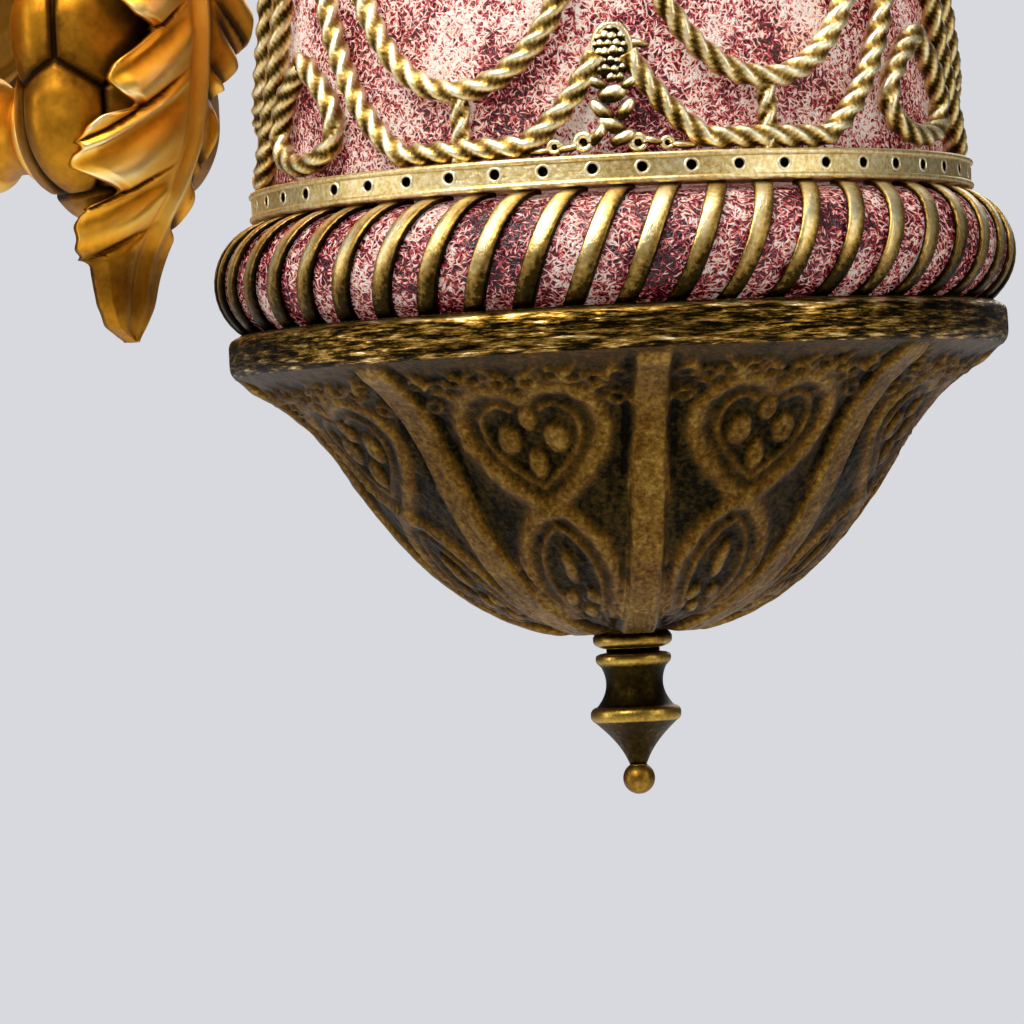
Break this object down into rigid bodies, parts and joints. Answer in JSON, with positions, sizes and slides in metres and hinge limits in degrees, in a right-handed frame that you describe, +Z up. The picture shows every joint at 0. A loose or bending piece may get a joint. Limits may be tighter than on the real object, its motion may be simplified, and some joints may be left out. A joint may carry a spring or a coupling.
{
  "type": "sanctuary lamp",
  "caption": "Wall-hung glass lantern with a rope-work cage, gadroon rings, embossed bowl and turned finial, on a gilded leaf and scroll bracket.",
  "frame": {"origin": "on the wall plane, midway between the two wall screws of the mounting strap", "axes": "+Z up, +Y into the wall, +X to the right as seen from the room"},
  "size_m": [0.1804, 0.2752, 0.4527],
  "materials": {
    "antique_brass": "antique brass, blackened in the recesses and rubbed bright on the edges",
    "gilt_casting": "gilded satin gloss with brown glaze in the recesses",
    "crackle_glass": "pink and crimson crackle glass, lit from inside",
    "zinc_steel": "zinc plated",
    "bulb_glass": "frosted",
    "bulb_cap": "plain",
    "filament": "coated filament strips",
    "ceramic": "glazed",
    "block_plastic": "satin",
    "screw_brass": "bright",
    "seal_rubber": "matt"
  },
  "bodies": {
    "bracket": {"mounting_strap": "zinc_steel", "strap_studs": "zinc_steel", "earth_screw": "screw_brass", "terminal_block": "block_plastic", "wall_plate": "gilt_casting", "cap_nuts": "gilt_casting", "lower_boss": "gilt_casting", "upper_boss": "gilt_casting", "bracket_pod": "gilt_casting", "scroll_arm": "gilt_casting", "volute_pearl": "gilt_casting", "acanthus_leaf": "gilt_casting", "upper_leaf": "gilt_casting", "leaf_screws": "screw_brass", "arm_eye": "gilt_casting"},
    "link": {"hanging_link": "gilt_casting"},
    "lantern": {"top_loop": "antique_brass", "loop_collar": "antique_brass", "nipple": "zinc_steel", "nipple_nut": "zinc_steel", "crown_dome": "antique_brass", "cornice_ring": "antique_brass", "upper_gadroon_glass": "crackle_glass", "upper_gadroon_straps": "antique_brass", "upper_band": "antique_brass", "upper_seal": "seal_rubber", "rope_ovals": "antique_brass", "rope_swags": "antique_brass", "rope_ties": "antique_brass", "teardrops": "antique_brass", "palmettes": "antique_brass", "glass_cylinder": "crackle_glass", "lower_seal": "seal_rubber", "lower_band": "antique_brass", "lower_gadroon_glass": "crackle_glass", "lower_gadroon_straps": "antique_brass", "base_ring": "antique_brass", "lampholder_shell": "antique_brass", "lampholder_core": "ceramic", "bulb_cap": "bulb_cap", "bulb_glass": "bulb_glass", "bulb_filaments": "filament", "strap_bar": "zinc_steel", "centre_rod": "zinc_steel", "rod_nuts": "zinc_steel"},
    "bowl": {"bowl": "antique_brass"},
    "finial": {"finial_washer": "antique_brass", "finial": "antique_brass"}
  },
  "joints": [
    {"name": "link_side_swing", "type": "hinge", "parent": "bracket", "child": "link", "pos_m": [0, -0.185, 0.1275], "axis": [0, 1, 0], "range_deg": [-15, 15]},
    {"name": "lantern_swing", "type": "hinge", "parent": "link", "child": "lantern", "pos_m": [0, -0.185, 0.1096], "axis": [-1, 0, 0], "range_deg": [-5, 25]},
    {"name": "bowl_drop", "type": "slide", "parent": "lantern", "child": "bowl", "axis": [0, 0, -1], "range_m": [0, 0.12]},
    {"name": "finial_turn", "type": "hinge", "parent": "bowl", "child": "finial", "pos_m": [0, -0.185, -0.26], "axis": [0, 0, 1], "continuous": true}
  ]
}
